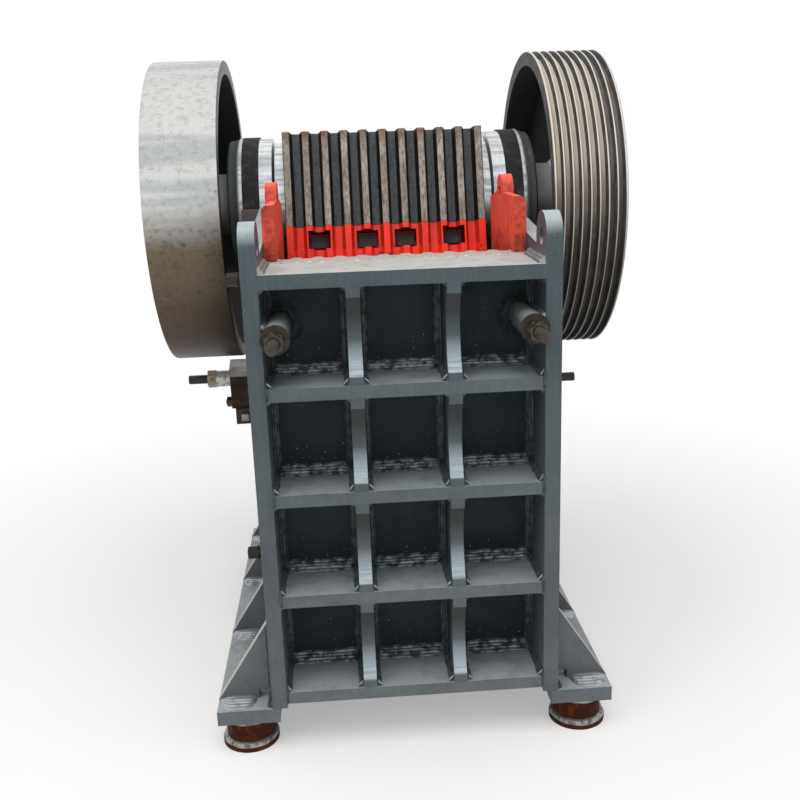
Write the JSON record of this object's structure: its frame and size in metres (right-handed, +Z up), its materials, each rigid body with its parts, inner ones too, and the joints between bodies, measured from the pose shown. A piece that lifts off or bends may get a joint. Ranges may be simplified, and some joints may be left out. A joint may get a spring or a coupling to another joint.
{
  "type": "jaw crusher",
  "caption": "Small jaw crusher: ribbed welded frame, toothed fixed and swinging jaws between cheek plates, eccentric shaft with heavy flywheel and grooved belt pulley, on pipe feet.",
  "frame": {"origin": "on the floor at the middle of the machine's bounding box", "axes": "+X along the shaft towards the belt pulley, +Y from the ribbed front wall to the rear wall, +Z up"},
  "size_m": [1.024, 1.1246, 1.2725],
  "materials": {
    "paint_grey": "dark blue-grey machine paint, satin",
    "paint_red": "red primer paint, worn",
    "bare_steel": "bare ground steel",
    "manganese": "dark cast manganese steel",
    "machined": "turned bright steel",
    "dark_cast": "dark cast steel, matt",
    "fastener": "dull plated steel with light rust",
    "rusty": "rusty mill steel"
  },
  "bodies": {
    "frame": {"front_wall_plate": "paint_grey", "front_top_flange": "bare_steel", "front_ribs": "paint_grey", "front_stiffeners": "paint_grey", "side_wall_right": "paint_grey", "side_wall_left": "paint_grey", "foot_plates": "paint_grey", "foot_gussets": "paint_grey", "pipe_feet": "rusty", "rear_wall_plate": "paint_grey", "rear_ribs": "paint_grey", "fixed_jaw_plate": "bare_steel", "toggle_plate": "dark_cast", "toggle_block": "paint_grey", "adjusting_wedges": "rusty", "wedge_boxes": "rusty", "wedge_covers": "bare_steel", "wedge_screws": "fastener", "tension_rod": "fastener", "tension_spring": "fastener", "tension_nut": "fastener", "cheek_plates": "paint_red", "cheek_bolts": "fastener", "bearing_housings": "dark_cast", "bearing_rings": "machined", "bearing_covers": "machined", "bearing_seats": "paint_grey", "tie_sleeves": "paint_grey", "tie_washers": "fastener", "tie_nuts": "fastener", "tie_rods": "fastener"},
    "rotor": {"eccentric_shaft": "machined", "flywheel_rim": "machined", "flywheel_centre": "dark_cast", "pulley_rim": "machined", "pulley_centre": "dark_cast", "shaft_nuts": "fastener"},
    "swing_jaw": {"pitman": "dark_cast", "pitman_ribs": "dark_cast", "jaw_plate_upper": "manganese", "jaw_plate_lower": "paint_red", "jaw_bolts": "dark_cast", "toggle_seat_front": "dark_cast", "tension_pin": "fastener", "barrel_rings": "machined"}
  },
  "joints": [
    {"name": "shaft_spin", "type": "hinge", "parent": "frame", "child": "rotor", "pos_m": [0, 0.23375, 0.944], "axis": [1, 0, 0], "continuous": true},
    {"name": "swing_jaw_orbit", "type": "hinge", "parent": "rotor", "child": "swing_jaw", "pos_m": [0, 0.23375, 0.934], "axis": [1, 0, 0], "continuous": true}
  ],
  "couplings": [
    {"joint": "swing_jaw_orbit", "follows": "shaft_spin", "ratio": -1}
  ]
}
